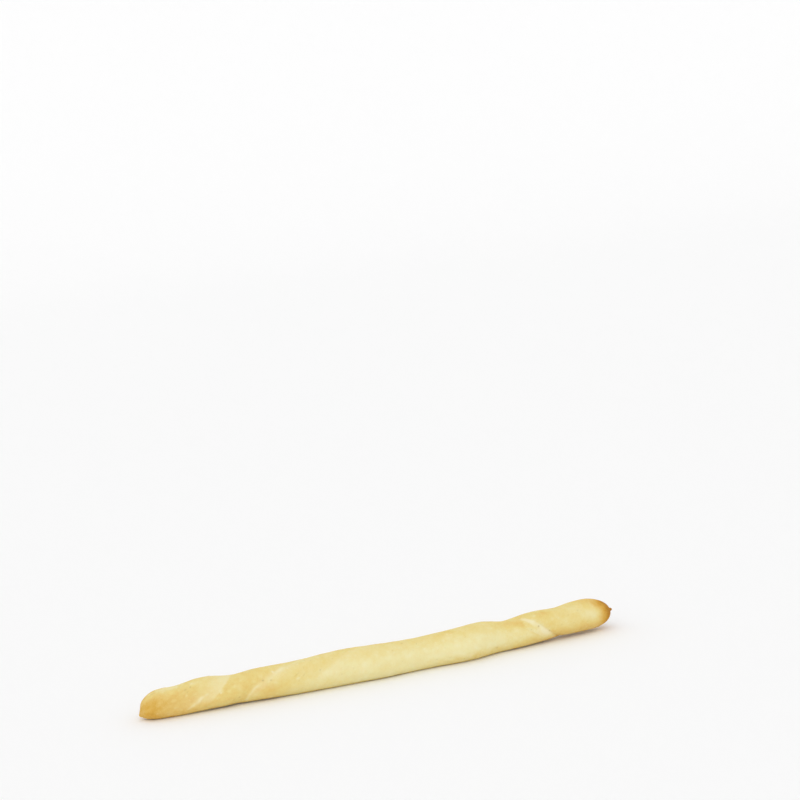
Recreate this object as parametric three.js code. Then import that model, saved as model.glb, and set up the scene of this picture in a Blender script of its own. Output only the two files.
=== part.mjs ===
import * as THREE from 'three';

// A hand-rolled breadstick lying on its baked underside. Lengths are millimetres and +Z is up.
// +X runs along the stick, from the blunt cut end to the round end with its small pinched tip,
// and the side that shows its twist creases best faces -Y.
//
// Two coordinates name a place on the skin: s, the distance along the stick from the cut end,
// and theta, the angle round it, in radians, from 0 at the front (-Y) upwards.

// Overall size
const LENGTH = 165.5;
const CUT_END_RADIUS = 5.05;
const MIDDLE_RADIUS = 5.75;
const ROUND_END_RADIUS = 5.3;
const FILLS_OUT = { from: 38, to: 72 };
const SLIMS_DOWN = { from: 112, to: 126 };

// Where the rolled dough is a little thicker or thinner all round
const SWELLINGS = [
  { at: 9, reach: 7, height: -0.25 },
  { at: 20, reach: 7, height: 0.2 },
  { at: 49, reach: 8, height: 0.15 },
  { at: 66, reach: 14, height: 0.05 },
  { at: 91, reach: 12, height: -0.42 },
  { at: 111, reach: 8, height: 0.1 },
  { at: 123, reach: 5, height: -0.3 },
  { at: 143, reach: 6, height: -0.2 },
];

// The blunt cut end. Its face sags a little below the axis and leans, so that the lower edge
// stands out furthest, and a torn nib (placed by an angle in degrees) sits on that edge.
const CUT_CAP = { length: 11, bluntAbove: 2.5, bluntBelow: 3, sag: 0.4, lean: 0.9, leanLength: 8 };
const NIB = { height: 2, reach: 1, radius: 3.8, angle: -115, depth: 4 };

// The round end and its pinched tip
const ROUND_CAP = { length: 10.5, bluntAbove: 1.85, bluntBelow: 2.4, shoulder: 1.1 };
const PINCH = { length: 2, radius: 0.7, taper: 3, root: 5 };
const BLEND_SHARPNESS = 3;

// How the stick bends: a slow bow towards the front that wanders a little, and an underside
// that leaves the surface under the first crease and towards the round end. The baked flat is
// the share of the radius that the belly is pressed in.
const FRONT_BOW = 4;
const WANDERS = [
  { at: 79, reach: 8, forward: 0.7 },
  { at: 107, reach: 8, forward: 1.1 },
  { at: 119, reach: 6, forward: -0.5 },
];
const BAKED_FLAT = 0.09;
const ARCH = { at: 30, half: 23, height: 0.55 };
const KICK = { at: 146, half: 28, height: 0.45 };
const TAIL_LIFT = { from: 112, to: 158, height: 0.78 };

// Twist creases. Each is the line s = at + lead * theta + bend * theta^2 within span of middle
// (degrees). The skin sinks by depth over width, and rises by lip on its far side.
const CREASES = [
  { at: -0.8, lead: 6.5, bend: 0, middle: 120, span: 75, width: 3, depth: 0.35, lip: 0 },
  { at: 18, lead: 9, bend: -1.6, middle: 80, span: 115, width: 4.6, depth: 0.85, lip: 0 },
  { at: 34.6, lead: 6.2, bend: 1.6, middle: 20, span: 110, width: 2.2, depth: 0.5, lip: 0 },
  { at: 53.6, lead: 9.9, bend: 0, middle: 50, span: 60, width: 2, depth: 0.15, lip: 0 },
  { at: 28, lead: 7, bend: 0, middle: 215, span: 60, width: 3.2, depth: 0.4, lip: 0 },
  { at: 132.4, lead: -7.6, bend: 1.2, middle: 10, span: 70, width: 1.6, depth: 0.12, lip: 0 },
  { at: 138.7, lead: -5.3, bend: -0.7, middle: 10, span: 125, width: 2.5, depth: 0.5, lip: 0.25 },
  { at: 150, lead: -3.8, bend: 0, middle: 120, span: 70, width: 4, depth: 0.35, lip: 0 },
  { at: 146, lead: -5, bend: 0, middle: 215, span: 55, width: 3, depth: 0.35, lip: 0.15 },
];
const CREASE_FADE_FROM = 0.55;
const LIP_SHARPNESS = 0.5;
const LIP_REACH = 5;
const NOMINAL_RADIUS = 5.5;
const RELIEF_STARTS = 6;

// The twist runs one way up to here and the other way beyond
const TWIST_TURNS_AT = 95;

// Mesh density
const RING_SIDES = 32;
const RING_STEP = 1.2;
const CUT_CAP_RINGS = 9;
const ROUND_CAP_RINGS = 10;
const PINCH_RINGS = 6;

const CRUST = { color: 0xe8d696, roughness: 0.82, metalness: 0 };

const { smoothstep, clamp, degToRad, euclideanModulo } = THREE.MathUtils;

const bell = (x, width) => Math.exp(-((x / width) ** 2));

// A bump that is exactly zero outside its half width, so that the rest stays level
function hump(s, { at, half, height }) {
  const rise = Math.max(0, 1 - ((s - at) / half) ** 2);
  return height * rise * rise;
}

function girthAt(s) {
  const filled = (MIDDLE_RADIUS - CUT_END_RADIUS) * smoothstep(s, FILLS_OUT.from, FILLS_OUT.to);
  const slimmed = (ROUND_END_RADIUS - MIDDLE_RADIUS) * smoothstep(s, SLIMS_DOWN.from, SLIMS_DOWN.to);
  const swollen = SWELLINGS.reduce((sum, { at, reach, height }) => sum + height * bell(s - at, reach), 0);
  return CUT_END_RADIUS + filled + slimmed + swollen;
}

// A cap's profile: 1 where it meets the body, falling to 0 at its tip. Both ends are blunter
// below, where the soft dough settled, than above.
function capProfile(cap, toTip, theta) {
  const below = smoothstep(-Math.sin(theta), -1, 1);
  const bluntness = cap.bluntAbove + (cap.bluntBelow - cap.bluntAbove) * below;
  return (1 - clamp(toTip, 0, 1) ** bluntness) ** (1 / bluntness);
}

function capAt(s, theta) {
  const toCut = 1 - s / CUT_CAP.length;
  const toRound = 1 - (LENGTH - ROUND_CAP.shoulder - s) / ROUND_CAP.length;
  return capProfile(CUT_CAP, toCut, theta) * capProfile(ROUND_CAP, toRound, theta);
}

function pinchAt(s) {
  if (s < LENGTH - PINCH.root) {
    return 0;
  }
  const along = clamp((s - LENGTH + PINCH.length) / PINCH.length, 0, 1);
  return PINCH.radius * Math.sqrt(1 - along ** PINCH.taper);
}

function creaseAt(crease, s, theta) {
  const middle = degToRad(crease.middle);
  const turn = euclideanModulo(theta - middle + Math.PI, 2 * Math.PI) - Math.PI;
  const angle = middle + turn;
  const line = crease.at + crease.lead * angle + crease.bend * angle ** 2;
  const slope = (crease.lead + 2 * crease.bend * angle) / NOMINAL_RADIUS;
  const across = (s - line) / Math.hypot(1, slope);
  const sink = -crease.depth * bell(across, crease.width);
  const beyond = (1 + Math.tanh(across / LIP_SHARPNESS)) / 2;
  const lip = crease.lip * beyond * bell(across, LIP_REACH);
  const fade = 1 - smoothstep(Math.abs(turn) / degToRad(crease.span), CREASE_FADE_FROM, 1);
  return (sink + lip) * fade;
}

function reliefAt(s, theta) {
  const near = smoothstep(s, 0, RELIEF_STARTS) * smoothstep(LENGTH - s, 0, RELIEF_STARTS);
  return near * CREASES.reduce((sum, crease) => sum + creaseAt(crease, s, theta), 0);
}

function undersideAt(s) {
  const tail = TAIL_LIFT.height * smoothstep(s, TAIL_LIFT.from, TAIL_LIFT.to);
  return hump(s, ARCH) + hump(s, KICK) + tail;
}

// The stick's axis at s. Its height follows the girth, because the belly lies on the surface.
function axisAt(s) {
  const along = s / LENGTH;
  const body = clamp(s, CUT_CAP.length, LENGTH - ROUND_CAP.shoulder - ROUND_CAP.length);
  const sag = CUT_CAP.sag * Math.max(0, 1 - s / CUT_CAP.leanLength) ** 2;
  const bowed = FRONT_BOW * (1 - (2 * along - 1) ** 2);
  const wandered = WANDERS.reduce((sum, { at, reach, forward }) => sum + forward * bell(s - at, reach), 0);
  const z = undersideAt(s) + girthAt(body) * (1 - BAKED_FLAT) - sag;
  return new THREE.Vector3(s - LENGTH / 2, -bowed - wandered, z);
}

// How far the cut end's lean and nib move a point along the stick
function cutFaceShift(s, forward, upward) {
  const leaning = CUT_CAP.lean * smoothstep(CUT_CAP.leanLength - s, 0, CUT_CAP.leanLength);
  const nibTheta = degToRad(NIB.angle);
  const fromNib = Math.hypot(
    forward - NIB.radius * Math.cos(nibTheta),
    upward - NIB.radius * Math.sin(nibTheta),
  );
  const nib = NIB.height * smoothstep(NIB.depth - s, 0, NIB.depth) * bell(fromNib, NIB.reach);
  return leaning * (upward / CUT_END_RADIUS) - nib;
}

function skinPoint(s, theta) {
  const body = (girthAt(s) + reliefAt(s, theta)) * capAt(s, theta);
  const radius = (body ** BLEND_SHARPNESS + pinchAt(s) ** BLEND_SHARPNESS) ** (1 / BLEND_SHARPNESS);
  const forward = radius * Math.cos(theta);
  const upward = radius * Math.sin(theta);
  const point = axisAt(s);
  point.x += cutFaceShift(s, forward, upward);
  point.y -= forward;
  point.z = Math.max(point.z + upward, undersideAt(s));
  return point;
}

// Ring positions: closer together round both ends, even along the body
function ringStations() {
  const stations = [];
  for (let i = 1; i <= CUT_CAP_RINGS; i += 1) {
    const turn = (Math.PI / 2) * (i / CUT_CAP_RINGS);
    stations.push(CUT_CAP.length * (1 - Math.cos(turn)));
  }
  const roundStart = LENGTH - ROUND_CAP.shoulder - ROUND_CAP.length;
  const bodyRings = Math.round((roundStart - CUT_CAP.length) / RING_STEP);
  for (let i = 1; i <= bodyRings; i += 1) {
    stations.push(CUT_CAP.length + (roundStart - CUT_CAP.length) * (i / bodyRings));
  }
  const pinchStart = LENGTH - PINCH.length;
  const roundTurn = Math.asin((pinchStart - roundStart) / ROUND_CAP.length);
  for (let i = 1; i <= ROUND_CAP_RINGS; i += 1) {
    stations.push(roundStart + ROUND_CAP.length * Math.sin(roundTurn * (i / ROUND_CAP_RINGS)));
  }
  for (let i = 1; i <= PINCH_RINGS; i += 1) {
    const turn = (Math.PI / 2) * (i / (PINCH_RINGS + 1));
    stations.push(pinchStart + PINCH.length * Math.sin(turn));
  }
  return stations;
}

// Ring angles: one side spans the baked flat, and the others share the rest of the round
function ringAngles() {
  const flatHalf = Math.acos(1 - BAKED_FLAT);
  const first = -Math.PI / 2 + flatHalf;
  const round = 2 * (Math.PI - flatHalf);
  return Array.from({ length: RING_SIDES }, (_, i) => first + round * (i / (RING_SIDES - 1)));
}

function breadstickGeometry() {
  const stations = ringStations();
  const angles = ringAngles();
  const points = stations.flatMap((s) => angles.map((theta) => skinPoint(s, theta)));
  const triangles = [];
  const corner = (ring, side) => ring * RING_SIDES + (side % RING_SIDES);
  for (let ring = 0; ring + 1 < stations.length; ring += 1) {
    for (let side = 0; side < RING_SIDES; side += 1) {
      const a = corner(ring, side);
      const b = corner(ring + 1, side);
      const c = corner(ring + 1, side + 1);
      const d = corner(ring, side + 1);
      if (stations[ring] < TWIST_TURNS_AT) {
        triangles.push(a, b, c, a, c, d);
      } else {
        triangles.push(a, b, d, b, c, d);
      }
    }
  }
  const cutTip = points.push(axisAt(0)) - 1;
  const roundTip = points.push(axisAt(LENGTH)) - 1;
  const lastRing = stations.length - 1;
  for (let side = 0; side < RING_SIDES; side += 1) {
    triangles.push(cutTip, corner(0, side), corner(0, side + 1));
    triangles.push(roundTip, corner(lastRing, side + 1), corner(lastRing, side));
  }
  const geometry = new THREE.BufferGeometry().setFromPoints(points);
  geometry.setIndex(triangles);
  geometry.computeVertexNormals();
  return geometry;
}

// The origin is under the middle of the stick's box, on the surface that it lies on
function centreOnSurface(geometry) {
  geometry.computeBoundingBox();
  const middle = geometry.boundingBox.getCenter(new THREE.Vector3());
  geometry.translate(-middle.x, -middle.y, -geometry.boundingBox.min.z);
}

const geometry = breadstickGeometry();
centreOnSurface(geometry);
const breadstick = new THREE.Mesh(geometry, new THREE.MeshStandardMaterial(CRUST));
breadstick.name = 'breadstick';

const part = new THREE.Group();
part.add(breadstick);

export default part;
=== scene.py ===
"""A hand-rolled breadstick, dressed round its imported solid, on a pale seamless floor."""

import math
from typing import NamedTuple

import bpy
import numpy as np
from mathutils import Euler, Matrix, Vector


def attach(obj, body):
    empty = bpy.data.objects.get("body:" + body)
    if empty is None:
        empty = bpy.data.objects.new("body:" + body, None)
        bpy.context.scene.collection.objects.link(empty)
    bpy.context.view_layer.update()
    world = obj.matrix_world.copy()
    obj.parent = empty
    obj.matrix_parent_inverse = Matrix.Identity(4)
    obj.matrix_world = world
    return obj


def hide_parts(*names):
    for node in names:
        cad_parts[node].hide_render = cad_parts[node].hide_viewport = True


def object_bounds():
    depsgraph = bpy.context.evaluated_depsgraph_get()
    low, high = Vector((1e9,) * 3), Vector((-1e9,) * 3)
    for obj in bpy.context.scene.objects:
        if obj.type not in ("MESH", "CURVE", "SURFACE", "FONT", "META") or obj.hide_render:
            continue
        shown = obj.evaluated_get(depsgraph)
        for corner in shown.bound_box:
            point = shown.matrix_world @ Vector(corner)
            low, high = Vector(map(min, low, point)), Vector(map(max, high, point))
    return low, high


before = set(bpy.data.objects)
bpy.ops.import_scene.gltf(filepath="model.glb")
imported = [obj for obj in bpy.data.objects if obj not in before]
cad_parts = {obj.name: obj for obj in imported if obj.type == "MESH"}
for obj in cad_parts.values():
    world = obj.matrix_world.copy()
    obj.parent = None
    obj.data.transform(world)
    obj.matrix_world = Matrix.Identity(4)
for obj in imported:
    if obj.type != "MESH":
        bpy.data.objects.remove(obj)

CAD_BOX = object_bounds()
CAD_NODE = "breadstick"
BODY = "root"
MM = 0.001

# --------------------------------------------------------------------------------------
# The stick's form, the same as its solid's. Lengths here are millimetres. s runs along the
# stick from its cut end. theta runs round it, from 0 at the front (-Y) upwards: functions
# take it in radians, and the tables give angles in degrees.
# --------------------------------------------------------------------------------------

LENGTH = 165.5
CUT_END_RADIUS = 5.05
MIDDLE_RADIUS = 5.75
ROUND_END_RADIUS = 5.3
# The stretches along which one radius passes into the next
FILLS_OUT = (38.0, 72.0)
SLIMS_DOWN = (112.0, 126.0)

# Where the rolled dough is a little thicker or thinner all round: place, reach, height
SWELLINGS = (
    (9, 7, -0.25),
    (20, 7, 0.2),
    (49, 8, 0.15),
    (66, 14, 0.05),
    (91, 12, -0.42),
    (111, 8, 0.1),
    (123, 5, -0.3),
    (143, 6, -0.2),
)

# The caps of both ends: their length, and how blunt they are above and below
CUT_CAP = {"length": 11, "above": 2.5, "below": 3}
ROUND_CAP = {"length": 10.5, "above": 1.85, "below": 2.4}
# The cut face leans and sags, and ends in a nib at its lower front corner
CUT_SAG = 0.4
CUT_LEAN = 0.9
LEAN_LENGTH = 8
NIB = {"height": 2, "reach": 1, "radius": 3.8, "angle": -115, "depth": 4}
# The flesh round the nib, which stands out a little further than on the solid
JOWL_HEIGHT = 0.3
JOWL_REACH = 2.8
# The pinched tip stands out of the round cap, which ends a little before it
ROUND_SHOULDER = 1.1
PINCH = {"length": 2, "radius": 0.7, "taper": 3, "root": 5}
BLEND_SHARPNESS = 3

# How the stick bows and wanders towards the front: place, reach, distance
FRONT_BOW = 4
WANDERS = ((79, 8, 0.7), (107, 8, 1.1), (119, 6, -0.5))
# The flat that baking leaves, as a share of the radius, and how softly it ends
BAKED_FLAT = 0.09
FLAT_ROUNDING = 0.1
# Where the underside lifts off the surface
ARCH = {"at": 30, "half": 23, "height": 0.55}
KICK = {"at": 146, "half": 28, "height": 0.45}
TAIL_LIFT = 0.78
TAIL = (112, 158)

# Turns round the stick are measured as lengths on this radius
NOMINAL_RADIUS = 5.5
# The share of its span from which a crease or a stroke fades
FADE_FROM = 0.55
# How sharply a crease's lip rises at its line, and how far past the line it reaches
LIP_SHARPNESS = 0.5
LIP_REACH = 5
# Creases come up from nothing within this distance of either end
RELIEF_STARTS = 6


class Crease(NamedTuple):
    """A twist crease: the line s = at + lead * theta + bend * theta^2 within span of middle."""

    at: float
    lead: float
    bend: float
    middle: float
    span: float
    width: float
    depth: float
    lip: float


CREASES = (
    Crease(-0.8, 6.5, 0, 120, 75, 3.0, 0.35, 0),
    Crease(18, 9, -1.6, 80, 115, 4.6, 0.85, 0),
    Crease(34.6, 6.2, 1.6, 20, 110, 2.2, 0.5, 0),
    Crease(53.6, 9.9, 0, 50, 60, 2.0, 0.15, 0),
    Crease(28, 7, 0, 215, 60, 3.2, 0.4, 0),
    Crease(132.4, -7.6, 1.2, 10, 70, 1.6, 0.12, 0),
    Crease(138.7, -5.3, -0.7, 10, 125, 2.5, 0.5, 0.25),
    Crease(150, -3.8, 0, 120, 70, 4.0, 0.35, 0),
    Crease(146, -5, 0, 215, 55, 3.0, 0.35, 0.15),
)


def smoothstep(x, low, high):
    t = np.clip((x - low) / (high - low), 0, 1)
    return t * t * (3 - 2 * t)


def bell(x, width):
    return np.exp(-((x / width) ** 2))


def hump(s, at, half, height):
    """A bump that is exactly zero outside its half width."""
    rise = np.maximum(0, 1 - ((s - at) / half) ** 2)
    return height * rise * rise


def turn_from(theta, degrees):
    """The signed angle from a place round the stick to theta, the short way round."""
    return np.mod(theta - math.radians(degrees) + math.pi, 2 * math.pi) - math.pi


def girth(s):
    radius = CUT_END_RADIUS
    radius = radius + (MIDDLE_RADIUS - CUT_END_RADIUS) * smoothstep(s, *FILLS_OUT)
    radius = radius + (ROUND_END_RADIUS - MIDDLE_RADIUS) * smoothstep(s, *SLIMS_DOWN)
    return radius + sum(height * bell(s - at, reach) for at, reach, height in SWELLINGS)


def cap_profile(cap, to_tip, theta):
    bluntness = cap["above"] + (cap["below"] - cap["above"]) * smoothstep(-np.sin(theta), -1, 1)
    return (1 - np.clip(to_tip, 0, 1) ** bluntness) ** (1 / bluntness)


def caps(s, theta):
    """1 along the body, falling to 0 at each end."""
    to_cut = 1 - s / CUT_CAP["length"]
    to_round = 1 - (LENGTH - ROUND_SHOULDER - s) / ROUND_CAP["length"]
    return cap_profile(CUT_CAP, to_cut, theta) * cap_profile(ROUND_CAP, to_round, theta)


def pinch(s):
    along = np.clip((s - LENGTH + PINCH["length"]) / PINCH["length"], 0, 1)
    radius = PINCH["radius"] * np.sqrt(1 - along ** PINCH["taper"])
    return np.where(s < LENGTH - PINCH["root"], 0, radius)


def across_line(mark, s, theta):
    """How far (s, theta) lies beyond a mark's slanting line, and its turn from the middle."""
    turn = turn_from(theta, mark.middle)
    angle = math.radians(mark.middle) + turn
    line = mark.at + mark.lead * angle + mark.bend * angle**2
    slope = (mark.lead + 2 * mark.bend * angle) / NOMINAL_RADIUS
    return (s - line) / np.hypot(1, slope), turn


def span_fade(mark, turn):
    return 1 - smoothstep(np.abs(turn) / math.radians(mark.span), FADE_FROM, 1)


def crease_relief(s, theta):
    total = 0
    for crease in CREASES:
        across, turn = across_line(crease, s, theta)
        beyond = (1 + np.tanh(across / LIP_SHARPNESS)) / 2
        lip = crease.lip * beyond * bell(across, LIP_REACH)
        total = total + (lip - crease.depth * bell(across, crease.width)) * span_fade(crease, turn)
    near_ends = smoothstep(s, 0, RELIEF_STARTS) * smoothstep(LENGTH - s, 0, RELIEF_STARTS)
    return total * near_ends


def underside(s):
    return hump(s, **ARCH) + hump(s, **KICK) + TAIL_LIFT * smoothstep(s, *TAIL)


def axis(s):
    along = s / LENGTH
    body = np.clip(s, CUT_CAP["length"], LENGTH - ROUND_SHOULDER - ROUND_CAP["length"])
    sag = CUT_SAG * np.maximum(0, 1 - s / LEAN_LENGTH) ** 2
    forward = FRONT_BOW * (1 - (2 * along - 1) ** 2)
    forward = forward + sum(shift * bell(s - at, reach) for at, reach, shift in WANDERS)
    return s - LENGTH / 2, -forward, underside(s) + girth(body) * (1 - BAKED_FLAT) - sag


def near_nib(s, forward, upward):
    """How far a point lies from the nib across the stick, and how near it is to the cut face."""
    angle = math.radians(NIB["angle"])
    from_nib = np.hypot(
        forward - NIB["radius"] * math.cos(angle),
        upward - NIB["radius"] * math.sin(angle),
    )
    return from_nib, smoothstep(NIB["depth"] - s, 0, NIB["depth"])


def cut_face_shift(s, forward, upward):
    """How far the cut end's lean and nib move a point along the stick."""
    leaning = CUT_LEAN * smoothstep(LEAN_LENGTH - s, 0, LEAN_LENGTH)
    from_nib, near_face = near_nib(s, forward, upward)
    nib = NIB["height"] * near_face * bell(from_nib, NIB["reach"])
    return leaning * (upward / CUT_END_RADIUS) - nib


def jowl(s, theta):
    """How far the cut face fills out round its nib."""
    radius = girth(s) * caps(s, theta)
    from_nib, near_face = near_nib(s, radius * np.cos(theta), radius * np.sin(theta))
    return JOWL_HEIGHT * near_face * (bell(from_nib, JOWL_REACH) - bell(from_nib, NIB["reach"]))


def skin(s, theta, relief):
    """Points of the skin, with relief standing out from the plain form."""
    body = (girth(s) + crease_relief(s, theta) + relief) * caps(s, theta)
    radius = (body**BLEND_SHARPNESS + pinch(s) ** BLEND_SHARPNESS) ** (1 / BLEND_SHARPNESS)
    forward = radius * np.cos(theta)
    upward = radius * np.sin(theta)
    x, y, z = axis(s)
    above = z + upward - underside(s)
    settled = (above + np.sqrt(above**2 + FLAT_ROUNDING**2)) / 2
    z = underside(s) + settled
    return np.stack([x + cut_face_shift(s, forward, upward), y - forward, z], axis=-1)


# --------------------------------------------------------------------------------------
# Marks on the crust. rise is relief in millimetres. gold browns the crust (less than 0: pales
# it), cream lays bare the pale stretched dough and speck is dark, all from 0 to about 1. A few
# marks use gold and cream for painted shade, shadow or highlight, as their comments say.
# --------------------------------------------------------------------------------------


class Stroke(NamedTuple):
    """A mark along a crease's kind of line, with its own width before and after the line. edge
    says how it ends: 2 is a soft bell, and a higher value is flatter with a crisper edge."""

    at: float
    lead: float
    bend: float
    middle: float
    span: float
    before: float
    after: float
    edge: float
    rise: float
    gold: float
    cream: float


STROKES = (
    # the stretched valley by the cut end, with a crisp edge towards the golden shoulder, and
    # the bright streak and the furrow at its lower end
    Stroke(22.3, 6.6, -1.6, 54, 90, 5.2, 0.45, 2, 0.03, -0.1, 0.3),
    Stroke(17.5, 8.2, 0, -8, 27, 0.45, 0.6, 2, 0.07, -0.1, 0.5),
    Stroke(18.9, 4.8, 0, -12, 24, 0.6, 0.8, 2, -0.13, 0.01, 0),
    # the second crease: a pale band with a darker edge before it, partly browning and partly
    # painted shadow of the band's raised edge, its bright lower end, and the pale skin past it
    Stroke(36.0, 5.0, 2.4, 18, 60, 1.5, 1.4, 4, 0.03, -0.02, 0.16),
    Stroke(34.0, 5.0, 2.4, 44, 34, 0.8, 0.5, 2, -0.03, 0.07, 0),
    Stroke(34.9, 5.0, 2.4, -18, 40, 0.4, 0.6, 2, 0.07, -0.05, 0.36),
    Stroke(38.3, 5.5, 0.5, 42, 55, 1.5, 2.2, 2, -0.03, -0.08, 0.16),
    # the faint third crease
    Stroke(53.0, 9.9, 0, 45, 60, 3.0, 1.0, 2, 0, 0.05, 0),
    Stroke(53.8, 9.9, 0, 45, 55, 0.4, 0.3, 2, -0.05, 0.03, 0),
    Stroke(56.3, 9.9, 0, 40, 60, 1.5, 3.0, 2, 0, -0.04, 0.1),
    # the overlap by the round end: a bright stretched band, a soft step before it with painted
    # shade before the step and paler skin past it, painted light on its lip, the edge of the fold
    # that lies over the band, sunk, with a painted shadow line along it, the shaded hollow under
    # that edge, sunk and a little darkened with painted shade, and the fold's browned border
    Stroke(136.1, -5.0, 0, 22, 64, 0.9, 0.9, 3, 0.05, -0.15, 0.58),
    Stroke(131.8, -6.6, 0, -8, 40, 1.6, 0.2, 2, -0.08, 0.06, 0),
    Stroke(132.4, -6.6, 0, -8, 36, 0.2, 1.4, 2, 0.04, -0.1, 0.1),
    Stroke(137.5, -5.1, 0, -6, 62, 0.3, 0.14, 2, -0.2, 0.08, 0),
    Stroke(136.9, -5.1, 0, -40, 32, 1.2, 0.3, 2, -0.24, 0.03, 0),
    Stroke(138.6, -5.1, 0, -12, 44, 0.5, 2.2, 2, 0, 0.03, 0),
    # creases of the far side
    Stroke(28.0, 7.0, 0, 215, 60, 1.6, 1.6, 2, 0, -0.12, 0.3),
    Stroke(26.8, 7.0, 0, 205, 44, 0.4, 0.5, 2, 0.06, -0.1, 0.5),
    Stroke(146.0, -5.0, 0, 215, 55, 1.6, 1.2, 2, 0, -0.12, 0.4),
    Stroke(147.2, -5.0, 0, 210, 50, 0.3, 0.16, 2, -0.14, 0.1, 0),
    Stroke(96.0, 8.0, 0, 170, 50, 1.2, 1.0, 2, -0.05, -0.1, 0.3),
    Stroke(97.0, 8.0, 0, 170, 44, 0.25, 0.4, 2, 0.05, -0.08, 0.35),
)


class Spot(NamedTuple):
    """A mark with an oval outline. long and wide are its half lengths, and lean is the angle
    of its long side from the stick's length."""

    s: float
    angle: float
    long: float
    wide: float
    lean: float
    rise: float
    gold: float
    cream: float
    speck: float


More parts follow.
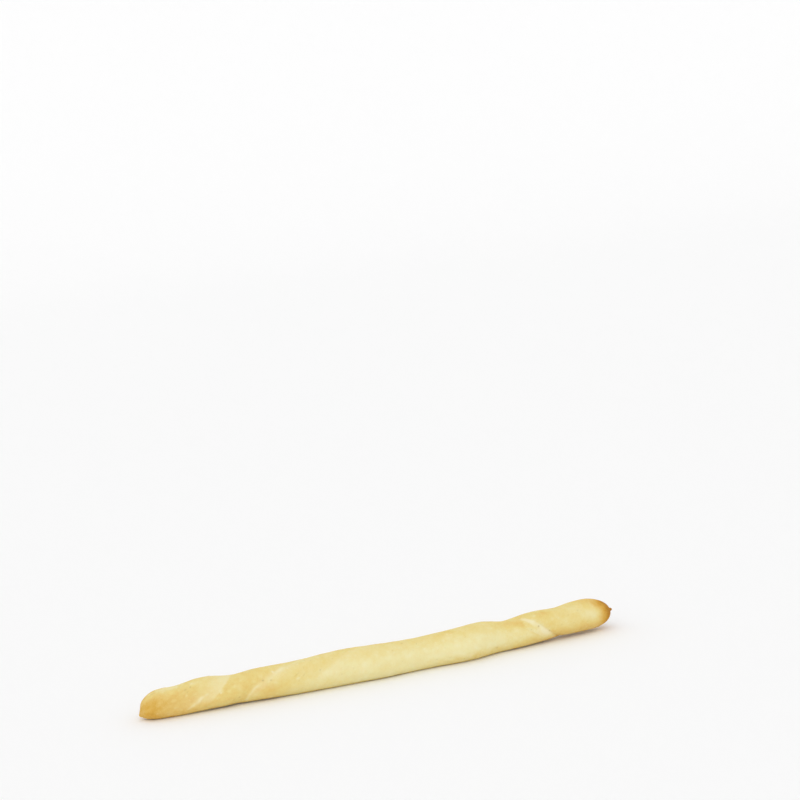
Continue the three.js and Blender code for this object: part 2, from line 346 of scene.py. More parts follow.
SPOTS = (
    # the paler top of the cut end
    Spot(8.0, 84, 6.0, 2.6, 0, 0, -0.27, 0.14, 0),
    Spot(1.2, 60, 3.0, 2.6, 0, 0, -0.06, 0, 0),
    Spot(17.0, 68, 4.0, 1.8, 0, 0, -0.08, 0, 0),
    # a small pit near the top of the cut end, and the light skin beside it
    Spot(3.4, 76, 0.8, 0.5, 0, -0.08, 0.06, 0, 0.16),
    Spot(2.2, 84, 0.7, 0.6, 0, 0.03, -0.12, 0.12, 0),
    # scraps of skin torn by the twist
    Spot(24.2, 6, 0.35, 0.28, 30, 0.09, -0.1, 0.6, 0),
    Spot(24.4, 13, 1.1, 0.8, 20, 0.03, -0.08, 0.25, 0),
    Spot(13.4, 25, 0.7, 0.45, 60, 0.05, -0.1, 0.2, 0),
    Spot(15.9, 67, 0.6, 0.4, 30, 0.05, -0.1, 0.2, 0),
    Spot(41.9, 54, 0.26, 0.8, 15, 0.14, -0.1, 0.9, 0),
    Spot(44.2, 61, 1.8, 0.7, 30, 0.02, -0.08, 0.25, 0),
    Spot(134.0, 27, 1.6, 0.9, -38, 0.03, -0.1, 0.4, 0),
    Spot(136.0, -9, 2.5, 1.4, -38, 0.05, -0.13, 0.56, 0),
    # paler crust low in the hollow under the overlap and before it: painted light, standing in
    # for the light that reaches the hollow
    Spot(139.8, -42, 2.0, 1.2, -45, 0.05, -0.2, 0.08, 0),
    Spot(134.8, -28, 2.6, 1.3, -35, 0.03, -0.13, 0.08, 0),
    # light bumps on the golden shoulder
    Spot(28.7, 24, 1.1, 0.8, 20, 0.03, -0.12, 0.06, 0),
    Spot(31.0, 40, 1.3, 0.9, 30, 0.03, -0.12, 0.06, 0),
    Spot(26.8, 9, 0.9, 0.6, 20, 0.02, -0.09, 0.05, 0),
    Spot(22.8, -9, 0.9, 0.6, 40, 0.03, -0.1, 0.08, 0),
    # the crown sinks a little before the overlap
    Spot(129.5, 86, 5.5, 4.0, 0, -0.22, 0, 0, 0),
    # browned patches, and a shallow hollow darkened with painted shade
    Spot(1.5, -35, 2.6, 2.4, 0, 0, 0.07, 0, 0),
    Spot(12.3, -2, 3.0, 1.8, 0, 0, 0.07, 0, 0),
    # painted shade: a shallow hollow on the front, sunk and darkened
    Spot(20.5, -1, 2.8, 1.5, 38, -0.06, 0.08, 0, 0),
    Spot(35.9, -5, 1.6, 0.8, 45, -0.04, 0.07, 0, 0),
    Spot(47.0, 76, 2.5, 1.2, 0, 0, 0.08, 0, 0),
    Spot(101.0, 78, 4.2, 1.6, 0, 0, 0.14, 0, 0),
    Spot(40.6, -4, 2.6, 1.7, 20, -0.03, 0.17, 0, 0),
    Spot(38.2, 8, 2.0, 1.2, 30, -0.05, 0.08, 0, 0),
    Spot(78.0, -10, 6.0, 1.8, 5, 0, 0.08, 0, 0),
    Spot(138.6, 50, 4.5, 2.2, -32, 0, 0.1, 0, 0),
    Spot(124.5, 58, 4.5, 2.6, -25, 0, 0.12, 0, 0),
    Spot(129.0, 34, 2.4, 1.2, -40, 0, 0.1, 0, 0),
    Spot(137.2, 71, 3.2, 1.3, -32, 0, 0.14, 0, 0),
    Spot(118.0, -24, 1.1, 0.7, 0, 0, 0.1, 0, 0.1),
    # paler stretches of the crown
    Spot(78.0, 60, 14.0, 2.6, 0, 0, -0.09, 0, 0),
    Spot(62.0, 76, 4.0, 1.5, 0, 0, -0.08, 0, 0),
    Spot(149.2, 52, 4.2, 2.1, 0, 0, -0.12, 0, 0),
    # a paler stretch low on the front, before the overlap
    Spot(122.0, -26, 7.0, 2.0, 0, 0, -0.06, 0, 0),
    # a pale patch on the round end's front cheek: painted highlight, for the softbox's broad sheen
    Spot(154.8, 16, 4.2, 2.0, -12, 0, -0.13, 0.18, 0),
    # a wrinkle of two short lines past the second crease, and the swelling beside it
    Spot(48.9, 25.5, 1.15, 0.2, 32, -0.06, 0.02, 0, 0.14),
    Spot(51.2, 20.5, 1.0, 0.2, 49, -0.06, 0.02, 0, 0.15),
    Spot(49.0, 12, 0.7, 0.4, 20, 0.05, -0.06, 0.3, 0),
    # pinholes
    Spot(13.5, 48, 0.4, 0.3, 20, -0.08, 0, 0, 0.25),
    Spot(13.9, 37, 0.3, 0.3, 0, -0.08, 0, 0, 0.2),
    Spot(15.3, 54, 0.32, 0.3, 0, -0.1, 0, 0, 0.35),
    Spot(30.0, -24, 0.3, 0.3, 0, -0.1, 0, 0, 0.4),
    Spot(38.0, 27, 0.32, 0.3, 0, -0.12, 0, 0, 0.5),
    Spot(40.5, 23, 0.28, 0.26, 0, -0.1, 0, 0, 0.4),
    Spot(56.7, 25, 0.4, 0.3, 40, -0.08, 0, 0, 0.25),
    Spot(118.3, -25, 0.3, 0.3, 0, -0.1, 0, 0, 0.4),
    Spot(134.3, 18, 0.36, 0.32, 0, -0.14, 0, 0, 0.6),
    Spot(138.3, -12, 0.45, 0.25, -40, -0.12, 0, 0, 0.45),
)

# How a stroke's line strays to both sides, and by how much
STRAY = {"cell": 3.0, "seed": 21}
STRAY_REACH = 0.3
# A stroke whose two widths add up to less than this has a patchy colour: the strength that is
# usual, how far it swings, and its most
FINE_STROKE = 2.0
PATCHES = {"cell": 1.4, "seed": 22}
PATCHINESS = {"usual": 0.7, "swing": 0.8, "most": 1.3}
# How ragged a spot's outline is
RAGGED = {"cell": 0.9, "seed": 23}
RAGGEDNESS = 0.35

# How brown the front is along the stick: place, browning
BROWNING = (
    (0, 0.73),
    (3, 0.70),
    (8, 0.61),
    (14, 0.57),
    (24, 0.50),
    (37, 0.48),
    (44, 0.43),
    (50, 0.33),
    (60, 0.22),
    (90, 0.19),
    (114, 0.14),
    (124, 0.24),
    (140, 0.40),
    (150, 0.40),
    (157, 0.35),
)
# Stretches that differ from the front: by how much browning, the places between which that
# comes, and the places between which it goes, the far one first. The top is paler near the
# cut end and browner further on, and the foot, low on the side, browns towards the round end.
CROWN_PALER = (0.1, (-1, 0), (38, 22))
CROWN_BROWNER = (0.2, (42, 70), (140, 128))
FOOT_BROWNER = (0.26, (86, 112), (200, 110))
# A golden collar above the painted highlight on the round end's cheek, and by this share below it
COLLAR = (0.13, (148, 153), (160, 156))
COLLAR_BELOW = 0.45
# Where round the section each tone comes in. Heights run from -1 at the belly to 1 on top, and
# depths from -1 on top to 1 at the belly.
CROWN_HEIGHTS = (0.26, 0.97)
COLLAR_HEIGHTS = (0.55, 0.9)
COLLAR_DEPTHS = (-0.1, 0.3)
BELLY_DEPTHS = (0.7, 0.96)
TIP_HEIGHTS = (0.34, 0.87)
TIP_DEPTHS = (0, 0.77)
# The foot's tone climbs higher up the side along this stretch
FOOT_DEPTHS = (0.1, 0.65)
FOOT_CLIMB = 0.15
FOOT_CLIMBS = (110, 140)
# The back comes in between these distances behind the stick's axis, in radii. It is at least
# this brown, and where the front is browner, a little paler than the front.
BACK_DISTANCES = (-0.1, 0.75)
BACK_TONE = 0.42
BACK_PALER = 0.04
BACK_FOOT_BROWNER = 0.12
BELLY_TONE = 0.52
# Where the tip starts to brown: at the front, how much sooner on top and below, and where it is
# fully brown
TIP_BROWNING = {"front": 155.2, "top": -2.7, "below": -0.2, "full": 163.0}
TIP_TONE = 0.95


class Grain(NamedTuple):
    """A layer of noise: the size of its features, its seed, and the relief and browning."""

    cell: float
    seed: int
    rise: float
    gold: float


SURFACE_GRAIN = (
    # slow lumps from hand rolling
    Grain(9.0, 11, 0.09, 0.03),
    Grain(3.6, 12, 0.045, 0),
    # a pebbled grain
    Grain(1.3, 13, 0.02, 0),
    Grain(0.6, 14, 0.012, 0),
    # mottling
    Grain(5.0, 31, 0, 0.025),
    Grain(2.0, 32, 0, 0.04),
)
# Faint lines along the twist, this many times longer than they are wide
TWIST_GRAIN = (
    Grain(1.5, 15, 0.03, 0.03),
    Grain(0.6, 16, 0.014, 0),
)
DRAWN_OUT = 7


class Strewn(NamedTuple):
    """Small marks strewn at random: how many, their seed and the range of their radii, and
    what each adds."""

    count: int
    seed: int
    radii: tuple
    rise: float
    gold: float
    cream: float
    speck: float


BLISTERS = Strewn(300, 41, (0.35, 1.2), 0.06, -0.06, 0.1, 0)
PALE_FLECKS = Strewn(420, 42, (0.2, 0.42), 0.03, -0.08, 0.16, 0)
PITS = Strewn(110, 43, (0.16, 0.3), -0.08, 0, 0, 0.3)
BROWN_FLECKS = Strewn(26, 45, (0.8, 2.2), 0, 0.07, 0, 0)
BELLY_PITS = Strewn(150, 53, (0.2, 0.5), -0.06, 0, 0, 0.32)
STREWN_ALONG = (4.0, 156.0)
ALL_ROUND = (-180, 180)
UNDERNEATH = (-122, -58)
# How many times longer than wide a strewn mark is, how strong it is, and how many of its half
# lengths out it is still worked out
STREWN_LENGTHS = (1.0, 1.6)
STREWN_STRENGTHS = (0.4, 1.0)
STREWN_REACH = 3

# The belly took its colour from the tray: where that fades, in radians from the bottom and
# along the stick, and how it is blotched
BELLY_FADES = (0.3, 0.75)
BELLY_COMES = (1, 5)
BELLY_GOES = (156, 161)
BELLY_BROWNER = 0.26
BLOTCHES = {"cell": 3.4, "seed": 51}
SMALL_BLOTCHES = {"cell": 1.3, "seed": 52}
BLOTCHINESS = {"middle": 0.5, "swing": 0.5, "small": 0.35}

# Small pleats that gather towards the pinched tip
PLEATS = {"count": 5, "twist": 0.25, "depth": 0.14, "gold": 0.02}
PLEATS_COME = (155, 161.5)
PLEATS_GO = (162.5, 164)
PLEAT_WAVER = {"cell": 2.5, "seed": 61}
PLEAT_WAVER_REACH = 0.8

# The width of a soft mark's bell, in its own radii, and the power that shapes a blister
SOFT_WIDTH = 0.8
DOME_POWER = 1.5

# The way the dough was twisted: radians of turn for each millimetre, before and after the
# stretch where it changes
TWIST_BEFORE = 1 / 9
TWIST_AFTER = -1 / 6
TWIST_CHANGES = (80.0, 112.0)


def stretch(s, height, comes, goes):
    """height along a stretch, 0 before and after it."""
    return height * smoothstep(s, *comes) * smoothstep(s, *goes)


def oval(s, theta, at, angle, long, wide, lean):
    """How far (s, theta) is from an oval's middle, 1 at its outline."""
    along = s - at
    around = turn_from(theta, angle) * NOMINAL_RADIUS
    tilt = math.radians(lean)
    x = along * math.cos(tilt) + around * math.sin(tilt)
    y = around * math.cos(tilt) - along * math.sin(tilt)
    return np.hypot(x / long, y / wide)


def soft_mark(distance):
    """The strength of a mark that fades away round its outline."""
    return bell(distance, SOFT_WIDTH)


def dome(distance):
    """The strength of a blister, which ends at its outline."""
    return np.clip(1 - distance**2, 0, 1) ** DOME_POWER


def twist_angle(s):
    """How far the dough has been turned at s, as the running sum of its twist."""
    low, high = TWIST_CHANGES
    t = np.clip((s - low) / (high - low), 0, 1)
    changed = (high - low) * (t**3 - t**4 / 2) + np.maximum(0, s - high)
    return TWIST_BEFORE * s + (TWIST_AFTER - TWIST_BEFORE) * changed


# The noise repeats after this many cells. Its lattice is turned, so that its grain doesn't run
# along the stick.
LATTICE = 64
LATTICE_TURN = np.array(Euler((0.7, 0.5, 0.9)).to_matrix())


def noise(points, cell, seed):
    """A smooth random field from -1 to 1 whose features are about cell millimetres wide."""
    table = np.random.default_rng(seed).random((LATTICE, LATTICE, LATTICE)) * 2 - 1
    place = points @ LATTICE_TURN / cell
    low = np.floor(place).astype(int)
    part = place - low
    part = part * part * (3 - 2 * part)
    total = 0
    for corner in np.ndindex(2, 2, 2):
        weight = 1
        index = []
        for k in range(3):
            weight = weight * (part[..., k] if corner[k] else 1 - part[..., k])
            index.append((low[..., k] + corner[k]) % LATTICE)
        total = total + weight * table[tuple(index)]
    return total


class Crust:
    """The fields of the crust on the mesh's grid of places."""

    def __init__(self, s, theta):
        self.s = s
        self.theta = theta
        self.plain = skin(s, theta, 0)
        self.relief = np.zeros(self.plain.shape[:2])
        self.gold = np.zeros_like(self.relief)
        self.cream = np.zeros_like(self.relief)
        self.speck = np.zeros_like(self.relief)

    def add(self, share, rise=0.0, gold=0.0, cream=0.0, speck=0.0, rows=slice(None)):
        self.relief[rows] += rise * share
        self.gold[rows] += gold * share
        self.cream[rows] = 1 - (1 - self.cream[rows]) * (1 - cream * share)
        self.speck[rows] = np.maximum(self.speck[rows], speck * share)

    def browning(self):
        """The broad browning, before any mark: most at both ends and towards the belly."""
        up = np.sin(self.theta)
        behind = smoothstep(-np.cos(self.theta), *BACK_DISTANCES)
        crown = stretch(self.s, *CROWN_BROWNER) - stretch(self.s, *CROWN_PALER)
        foot = stretch(self.s, *FOOT_BROWNER)
        foot = foot + (BACK_FOOT_BROWNER - foot) * behind
        foot_starts = FOOT_DEPTHS[0] - FOOT_CLIMB * smoothstep(self.s, *FOOT_CLIMBS)
        along = np.interp(self.s, *zip(*BROWNING))
        tone = along + crown * smoothstep(up, *CROWN_HEIGHTS)
        tone = tone + (np.maximum(BACK_TONE, along - BACK_PALER) - tone) * behind
        tone = tone + foot * smoothstep(-up, foot_starts, FOOT_DEPTHS[1])
        tone = tone + np.maximum(0, BELLY_TONE - tone) * smoothstep(-up, *BELLY_DEPTHS)

        below = COLLAR_BELOW * smoothstep(-up, *COLLAR_DEPTHS)
        collar = np.maximum(smoothstep(up, *COLLAR_HEIGHTS), below)
        tone = tone + stretch(self.s, *COLLAR) * collar
        start = TIP_BROWNING["front"]
        start = start + TIP_BROWNING["top"] * smoothstep(up, *TIP_HEIGHTS)
        start = start + TIP_BROWNING["below"] * smoothstep(-up, *TIP_DEPTHS)
        tone = tone + (TIP_TONE - tone) * smoothstep(self.s, start, TIP_BROWNING["full"])
        return tone + (1 - tone) * smoothstep(self.s, TIP_BROWNING["full"], LENGTH)

    def add_grain(self):
        """The layers of noise on the surface and along the twist."""
        turned = self.theta - twist_angle(self.s)
        forward = NOMINAL_RADIUS * np.cos(turned)
        upward = NOMINAL_RADIUS * np.sin(turned)
        drawn = np.broadcast_to(self.s / DRAWN_OUT, turned.shape)
        along_twist = np.stack([drawn, forward, upward], axis=-1)
        for places, layers in ((self.plain, SURFACE_GRAIN), (along_twist, TWIST_GRAIN)):
            for layer in layers:
                field = noise(places, layer.cell, layer.seed)
                self.relief += layer.rise * field
                self.gold += layer.gold * field

    def add_strokes(self):
        stray = STRAY_REACH * noise(self.plain, **STRAY)
        patches = PATCHINESS["usual"] + PATCHINESS["swing"] * noise(self.plain, **PATCHES)
        patches = np.clip(patches, 0, PATCHINESS["most"])
        for stroke in STROKES:
            across, turn = across_line(stroke, self.s, self.theta)
            across = across + stray * min(1.0, stroke.before + stroke.after)
            width = np.where(across < 0, stroke.before, stroke.after)
            share = np.exp(-np.abs(across / width) ** stroke.edge) * span_fade(stroke, turn)
            self.add(share, rise=stroke.rise)
            fine = stroke.before + stroke.after < FINE_STROKE
            self.add(share * (patches if fine else 1), gold=stroke.gold, cream=stroke.cream)

    def add_spots(self):
        ragged = 1 + RAGGEDNESS * noise(self.plain, **RAGGED)
        for spot in SPOTS:
            share = soft_mark(oval(self.s, self.theta, *spot[:5]) * ragged)
            self.add(share, *spot[5:])

    def strew(self, marks, profile=soft_mark, angles=ALL_ROUND):
        """Small marks at random places, of random size, lean and strength."""
        rng = np.random.default_rng(marks.seed)
        smallest, largest = marks.radii
        effect = (marks.rise, marks.gold, marks.cream, marks.speck)
        for _ in range(marks.count):
            at = rng.uniform(*STREWN_ALONG)
            angle = rng.uniform(*angles)
            wide = smallest + (largest - smallest) * rng.random() ** 2
            long = wide * rng.uniform(*STREWN_LENGTHS)
            lean = rng.uniform(-90, 90)
            strength = rng.uniform(*STREWN_STRENGTHS)
            reach = STREWN_REACH * long
            rows = slice(*np.searchsorted(self.s[:, 0], [at - reach, at + reach]))
            distance = oval(self.s[rows], self.theta, at, angle, long, wide, lean)
            self.add(profile(distance) * strength, *effect, rows=rows)

    def add_blisters(self):
        self.strew(BLISTERS, profile=dome)
        self.strew(PALE_FLECKS)
        self.strew(PITS)
        self.strew(BROWN_FLECKS)

    def add_underside(self):
        """The belly's deeper browning, blotched and pitted."""
        belly = 1 - smoothstep(np.abs(turn_from(self.theta, -90)), *BELLY_FADES)
        belly = belly * smoothstep(self.s, *BELLY_COMES) * (1 - smoothstep(self.s, *BELLY_GOES))
        blotch = BLOTCHINESS["middle"] + BLOTCHINESS["swing"] * noise(self.plain, **BLOTCHES)
        blotch = blotch + BLOTCHINESS["small"] * noise(self.plain, **SMALL_BLOTCHES)
        self.add(belly * np.clip(blotch, 0, 1), gold=BELLY_BROWNER)
        self.strew(BELLY_PITS, angles=UNDERNEATH)

    def add_pleats(self):
        near = smoothstep(self.s, *PLEATS_COME) * (1 - smoothstep(self.s, *PLEATS_GO))
        turn = PLEATS["count"] * self.theta + PLEATS["twist"] * (self.s - LENGTH)
        wave = np.cos(turn + PLEAT_WAVER_REACH * noise(self.plain, **PLEAT_WAVER))
        self.relief += PLEATS["depth"] * near * (wave - 1) / 2
        self.gold += PLEATS["gold"] * near * wave


# --------------------------------------------------------------------------------------
# The crust's mesh
# --------------------------------------------------------------------------------------

CUT_CAP_RINGS = 50
BODY_RINGS = 500
ROUND_CAP_RINGS = 40
PINCH_RINGS = 14
RING_SIDES = 156
# The margin round each half of the skin in the bake layout
BAKE_MARGIN = 0.006
# The cut face is rough down to this distance from the end
CUT_FACE_ROUGHNESS = 0.12
CUT_FACE_DEPTH = 2.5
CUT_FACE_CRUMB = {"cell": 1.1, "seed": 71}


def ring_stations():
    """Where the rings lie along the stick: closer together round both ends."""
    round_start = LENGTH - ROUND_SHOULDER - ROUND_CAP["length"]
    pinch_start = LENGTH - PINCH["length"]
    quarter = math.pi / 2
    cut_turns = np.linspace(0, quarter, CUT_CAP_RINGS + 1)[1:]
    cut = CUT_CAP["length"] * (1 - np.cos(cut_turns))
    body = np.linspace(CUT_CAP["length"], round_start, BODY_RINGS + 1)[1:]
    round_turn = math.asin((pinch_start - round_start) / ROUND_CAP["length"])
    round_turns = np.linspace(0, round_turn, ROUND_CAP_RINGS + 1)[1:]
    round_end = round_start + ROUND_CAP["length"] * np.sin(round_turns)
    pinch_turns = np.linspace(0, quarter, PINCH_RINGS + 2)[1:-1]
    tip = pinch_start + PINCH["length"] * np.sin(pinch_turns)
    return np.concatenate([cut, body, round_end, tip])


def grid_faces(rings, sides):
    """Quads between the rings, and a fan of triangles at each tip, by vertex number."""
    ring = np.arange(rings - 1)[:, None] * sides
    side = np.arange(sides)[None, :]
    following = (side + 1) % sides
    corners = [ring + side, ring + sides + side, ring + sides + following, ring + following]
    quads = np.stack(corners, axis=-1).reshape(-1, 4)
    last = (rings - 1) * sides
    around = np.arange(sides)
    after = (around + 1) % sides
    cut_fan = np.stack([np.full(sides, rings * sides), around, after], axis=-1)
    round_fan = np.stack([np.full(sides, rings * sides + 1), last + after, last + around], axis=-1)
    return quads, cut_fan, round_fan


def bake_layout(stations, sides):
    """UVs for every face corner: the skin slit along its belly and cut across at its middle
    ring, the two parts one above the other, so that they fill the square."""
    rings = len(stations)
    half = rings // 2
    places = np.concatenate([[0.0], stations, [LENGTH]])

    def uv(ring, side, row):
        """The place of a corner, where ring -1 is the cut tip and the last is the round tip."""
        start, end = (0.0, stations[half]) if row == 0 else (stations[half], LENGTH)
        along = (places[ring + 1] - start) / (end - start)
        u = BAKE_MARGIN + (1 - 2 * BAKE_MARGIN) * along
        v = BAKE_MARGIN + (0.5 - 2 * BAKE_MARGIN) * side / sides + row / 2
        return np.stack(np.broadcast_arrays(u, v), axis=-1)

    side = np.arange(sides)[None, :]
    parts = []
    for row, ring in enumerate((np.arange(half)[:, None], np.arange(half, rings - 1)[:, None])):
        near = [uv(ring, side, row), uv(ring + 1, side, row)]
        far = [uv(ring + 1, side + 1, row), uv(ring, side + 1, row)]
        parts.append(np.stack(near + far, axis=-2).reshape(-1, 2))
    around = np.arange(sides)
    first, tip = np.zeros(sides, int), np.full(sides, rings)
    cut = [uv(first - 1, around + 0.5, 0), uv(first, around, 0), uv(first, around + 1, 0)]
    end = [uv(tip, around + 0.5, 1), uv(tip - 1, around + 1, 1), uv(tip - 1, around, 1)]
    parts.append(np.stack(cut, axis=-2).reshape(-1, 2))
    parts.append(np.stack(end, axis=-2).reshape(-1, 2))
    return np.concatenate(parts)


def crust_points(crust):
    """The skin's points in the frame's metres, round the solid that they replace."""
    points = skin(crust.s, crust.theta, crust.relief)
    face = 1 - smoothstep(crust.s, 0, CUT_FACE_DEPTH)
    points[..., 0] -= CUT_FACE_ROUGHNESS * face * noise(crust.plain, **CUT_FACE_CRUMB)
    points[..., 0] -= jowl(crust.s, crust.theta)
    tips = [[float(v) for v in axis(np.float64(end))] for end in (0.0, LENGTH)]
    points = np.concatenate([points.reshape(-1, 3), tips])
    low, high = CAD_BOX
    plain = crust.plain.reshape(-1, 3)
    shift = (np.array(low) + np.array(high)) / 2 - (plain.min(0) + plain.max(0)) / 2 * MM
    return points * MM + [shift[0], shift[1], low[2]]


def make_crust():
    stations = ring_stations()
    theta = -math.pi / 2 + 2 * math.pi * np.arange(RING_SIDES) / RING_SIDES
    crust = Crust(stations[:, None], theta[None, :])
    crust.gold += crust.browning()
    crust.add_grain()
    crust.add_strokes()
    crust.add_spots()
    crust.add_blisters()
    crust.add_underside()
    crust.add_pleats()

    faces = grid_faces(len(stations), RING_SIDES)
    sizes = np.concatenate([np.full(len(part), part.shape[1]) for part in faces])
    corners = np.concatenate([part.ravel() for part in faces])
    points = crust_points(crust)
    mesh = bpy.data.meshes.new("crust")
    mesh.vertices.add(len(points))
    mesh.vertices.foreach_set("co", points.astype(np.float32).ravel())
    mesh.loops.add(len(corners))
    mesh.loops.foreach_set("vertex_index", corners.astype(np.int32))
    mesh.polygons.add(len(sizes))
    mesh.polygons.foreach_set("loop_start", (np.cumsum(sizes) - sizes).astype(np.int32))
    mesh.polygons.foreach_set("use_smooth", np.ones(len(sizes), bool))
    mesh.update(calc_edges=True)
    layout = mesh.uv_layers.new(name="OFBake")
    layout.uv.foreach_set("vector", bake_layout(stations, RING_SIDES).astype(np.float32).ravel())
    for name in ("gold", "cream", "speck"):
        values = np.clip(getattr(crust, name), 0, 1)
        ends = [values[0].mean(), values[-1].mean()]
        layer = mesh.attributes.new(name, "FLOAT", "POINT")
        layer.data.foreach_set("value", np.concatenate([values.ravel(), ends]).astype(np.float32))
    piece = bpy.data.objects.new("crust", mesh)
    bpy.context.scene.collection.objects.link(piece)
    return piece


# --------------------------------------------------------------------------------------
# Materials
# --------------------------------------------------------------------------------------


def colour(*screen):
    """A colour from its 0 to 255 screen values."""
    scaled = [c / 255 for c in screen]
    linear = [c / 12.92 if c <= 0.04045 else ((c + 0.055) / 1.055) ** 2.4 for c in scaled]
    return (*linear, 1.0)


# The crust's colours from pale to deeply browned: browning, colour
CRUST_TONES = (
    (0.00, colour(239, 232, 190)),
    (0.15, colour(236, 226, 172)),
    (0.30, colour(233, 217, 152)),
    (0.45, colour(230, 208, 132)),
    (0.60, colour(226, 193, 112)),
    (0.75, colour(215, 170, 74)),
    (0.88, colour(199, 145, 40)),
    (1.00, colour(170, 112, 18)),
)
CREAM = colour(243, 233, 198)
SPECK = colour(150, 112, 62)
CREAM_COVER = 0.9

# The fine noises of the material: scale, detail, roughness
MOTTLE_NOISE = (520.0, 5.0, 0.62)
GRAIN_NOISE = (2300.0, 4.0, 0.6)
PORE_NOISE = (5200.0, 3.0, 0.55)
# How much the browning and the roughness swing with them
MOTTLE_BROWNING = 0.24
GRAIN_BROWNING = 0.16
CRUST_ROUGHNESS = 0.72
MOTTLE_ROUGHNESS = 0.3
# The bump, and the pores' share in it next to the grain
BUMP = {"Strength": 0.4, "Distance": 0.05 * MM}
PORE_SHARE = 0.5
CRUST_FINISH = {
    "Specular IOR Level": 0.25,
    "Subsurface Weight": 0.1,
    "Subsurface Radius": (1.0, 0.6, 0.25),
    "Subsurface Scale": 0.7 * MM,
}
FLOOR_FINISH = {
    "Base Color": (0.95, 0.95, 0.95, 1),
    "Roughness": 0.9,
    "Specular IOR Level": 0.1,
}


class Nodes:
    """A short way to add and join a material's nodes."""

    def __init__(self, name):
        self.material = bpy.data.materials.new(name)
        self.material.use_nodes = True
        self.tree = self.material.node_tree
        self.shader = self.tree.nodes["Principled BSDF"]

    def add(self, kind, **settings):
        node = self.tree.nodes.new(kind)
        for key, value in settings.items():
            setattr(node, key, value)
        return node

    def put(self, value, socket):
        """Joins an output to a socket, or sets the socket to a plain value."""
        if isinstance(value, bpy.types.NodeSocket):
            self.tree.links.new(value, socket)
        else:
            socket.default_value = value

    def set(self, node, values):
        for name, value in values.items():
            self.put(value, node.inputs[name])

    def field(self, name):
        return self.add("ShaderNodeAttribute", attribute_name=name).outputs["Fac"]

    def math(self, operation, *values):
        node = self.add("ShaderNodeMath", operation=operation)
        for socket, value in zip(node.inputs, values):
            self.put(value, socket)
        return node.outputs[0]

    def noise(self, place, scale, detail, roughness):
        node = self.add("ShaderNodeTexNoise")
        self.set(node, {"Vector": place, "Scale": scale, "Detail": detail, "Roughness": roughness})
        return node.outputs["Fac"]

    def mix(self, share, first, second):
        node = self.add("ShaderNodeMix", data_type="RGBA")
        for name, value in {"Factor_Float": share, "A_Color": first, "B_Color": second}.items():
            self.put(value, next(i for i in node.inputs if i.identifier == name))
        return next(o for o in node.outputs if o.identifier == "Result_Color")

    def ramp(self, share, stops):
        node = self.add("ShaderNodeValToRGB")
        elements = node.color_ramp.elements
        while len(elements) < len(stops):
            elements.new(1.0)
        for element, (position, value) in zip(elements, stops):
            element.position = position
            element.color = value
        self.put(share, node.inputs["Fac"])
        return node.outputs["Color"]


def centred(nodes, value, strength, base):
    """base plus strength times a noise that is centred on a half."""
    return nodes.math("MULTIPLY_ADD", nodes.math("SUBTRACT", value, 0.5), strength, base)


def crust_material():
    nodes = Nodes("baked_crust")
    place = nodes.add("ShaderNodeTexCoord").outputs["Object"]
    mottle = nodes.noise(place, *MOTTLE_NOISE)
    grain = nodes.noise(place, *GRAIN_NOISE)
    pores = nodes.noise(place, *PORE_NOISE)
    tone = centred(nodes, mottle, MOTTLE_BROWNING, nodes.field("gold"))
    tone = centred(nodes, grain, GRAIN_BROWNING, tone)
    base = nodes.ramp(tone, CRUST_TONES)
    cream = nodes.math("MULTIPLY", nodes.field("cream"), CREAM_COVER)
    base = nodes.mix(cream, base, CREAM)
    base = nodes.mix(nodes.field("speck"), base, SPECK)
    roughness = centred(nodes, mottle, MOTTLE_ROUGHNESS, CRUST_ROUGHNESS)

    bump = nodes.add("ShaderNodeBump")
    height = nodes.math("MULTIPLY_ADD", pores, PORE_SHARE, grain)
    nodes.set(bump, {**BUMP, "Height": height})
    normal = bump.outputs["Normal"]
    nodes.set(nodes.shader, {"Base Color": base, "Roughness": roughness, "Normal": normal})
    nodes.set(nodes.shader, CRUST_FINISH)
    return nodes.material


def floor_material():
    nodes = Nodes("pale_floor")
    nodes.set(nodes.shader, FLOOR_FINISH)
    return nodes.material


# --------------------------------------------------------------------------------------
# Camera, light and floor, in metres
# --------------------------------------------------------------------------------------

LENS = 85.0
CAMERA_REACH = (0.01, 20)
# The camera's place, seen from the stick's middle
STICK_MIDDLE = Vector((0.0, 0.0, 0.006))
CAMERA_DISTANCE = 0.6188
CAMERA_AZIMUTH = -20.0
CAMERA_ELEVATION = 16.0
# The camera looks past the stick, which lies low in its view, and is held a little askew
LOOK_AZIMUTH = -21.04
LOOK_ELEVATION = 8.37
LOOK_ROLL = -5.2

# Where the floor begins, and where and how far it curves up behind the stick and at both sides
FLOOR_FRONT = -4.0
BACKDROP = {"start": 1.6, "radius": 1.0, "height": 4.0}
WINGS = {"start": 3.0, "radius": 1.0, "height": 1.1}
COVE_STEPS = 24

WHITE = (1, 1, 1, 1)
ROOM_LIGHT = 0.925
SOFTBOX = {"azimuth": -32, "elevation": 36, "strength": 0.38, "spread": 50}


def direction(azimuth, elevation):
    """The unit vector from the stick towards a viewer at that azimuth and elevation."""
    a, e = math.radians(azimuth), math.radians(elevation)
    return Vector((math.sin(a) * math.cos(e), -math.cos(a) * math.cos(e), math.sin(e)))


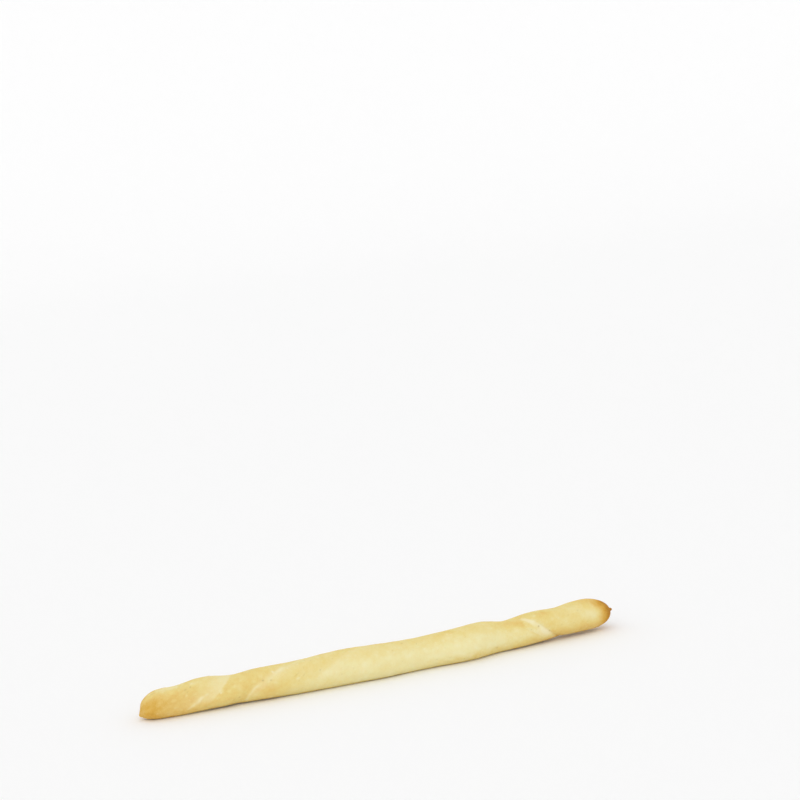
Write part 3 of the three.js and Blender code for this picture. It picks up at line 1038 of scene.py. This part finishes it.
def add_camera():
    data = bpy.data.cameras.new("camera")
    data.lens = LENS
    data.clip_start, data.clip_end = CAMERA_REACH
    camera = bpy.data.objects.new("camera", data)
    bpy.context.scene.collection.objects.link(camera)
    back = direction(LOOK_AZIMUTH, LOOK_ELEVATION)
    a = math.radians(LOOK_AZIMUTH)
    right = Vector((math.cos(a), math.sin(a), 0))
    level = Matrix((right, back.cross(right), back)).transposed().to_4x4()
    place = STICK_MIDDLE + CAMERA_DISTANCE * direction(CAMERA_AZIMUTH, CAMERA_ELEVATION)
    roll = Matrix.Rotation(math.radians(LOOK_ROLL), 4, "Z")
    camera.matrix_world = Matrix.Translation(place) @ level @ roll
    bpy.context.scene.camera = camera


def add_light():
    world = bpy.data.worlds.new("soft_room")
    world.use_nodes = True
    background = world.node_tree.nodes["Background"]
    background.inputs["Color"].default_value = WHITE
    background.inputs["Strength"].default_value = ROOM_LIGHT
    bpy.context.scene.world = world
    data = bpy.data.lights.new("softbox", "SUN")
    data.energy = SOFTBOX["strength"]
    data.angle = math.radians(SOFTBOX["spread"])
    lamp = bpy.data.objects.new("softbox", data)
    bpy.context.scene.collection.objects.link(lamp)
    away = direction(SOFTBOX["azimuth"], SOFTBOX["elevation"])
    lamp.location = away
    lamp.rotation_euler = away.to_track_quat("Z", "Y").to_euler()


def cove(start, radius, height):
    """How a sheet that is flat up to start curves up to a wall: distances out and up."""
    turns = [math.pi / 2 * i / COVE_STEPS for i in range(COVE_STEPS + 1)]
    bend = [(start + radius * math.sin(turn), radius * (1 - math.cos(turn))) for turn in turns]
    return [*bend, (start + radius, height)]


def add_floor():
    """A seamless sheet that curves up behind the stick and, far off, at both sides."""
    back = [(FLOOR_FRONT, 0.0), *cove(**BACKDROP)]
    wing = cove(**WINGS)
    across = [(-x, up) for x, up in reversed(wing)] + wing
    points = [(x, y, up + wing_up) for y, up in back for x, wing_up in across]
    row = len(across)
    starts = [i * row + k for i in range(len(back) - 1) for k in range(row - 1)]
    faces = [(i, i + 1, i + row + 1, i + row) for i in starts]
    mesh = bpy.data.meshes.new("floor")
    mesh.from_pydata(points, [], faces)
    mesh.polygons.foreach_set("use_smooth", [True] * len(faces))
    mesh.materials.append(floor_material())
    floor = bpy.data.objects.new("floor", mesh)
    bpy.context.scene.collection.objects.link(floor)


bpy.context.scene.view_settings.view_transform = "Standard"
add_camera()
add_floor()
add_light()

crust_piece = make_crust()
crust_piece.data.materials.append(crust_material())
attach(crust_piece, BODY)
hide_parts(CAD_NODE)
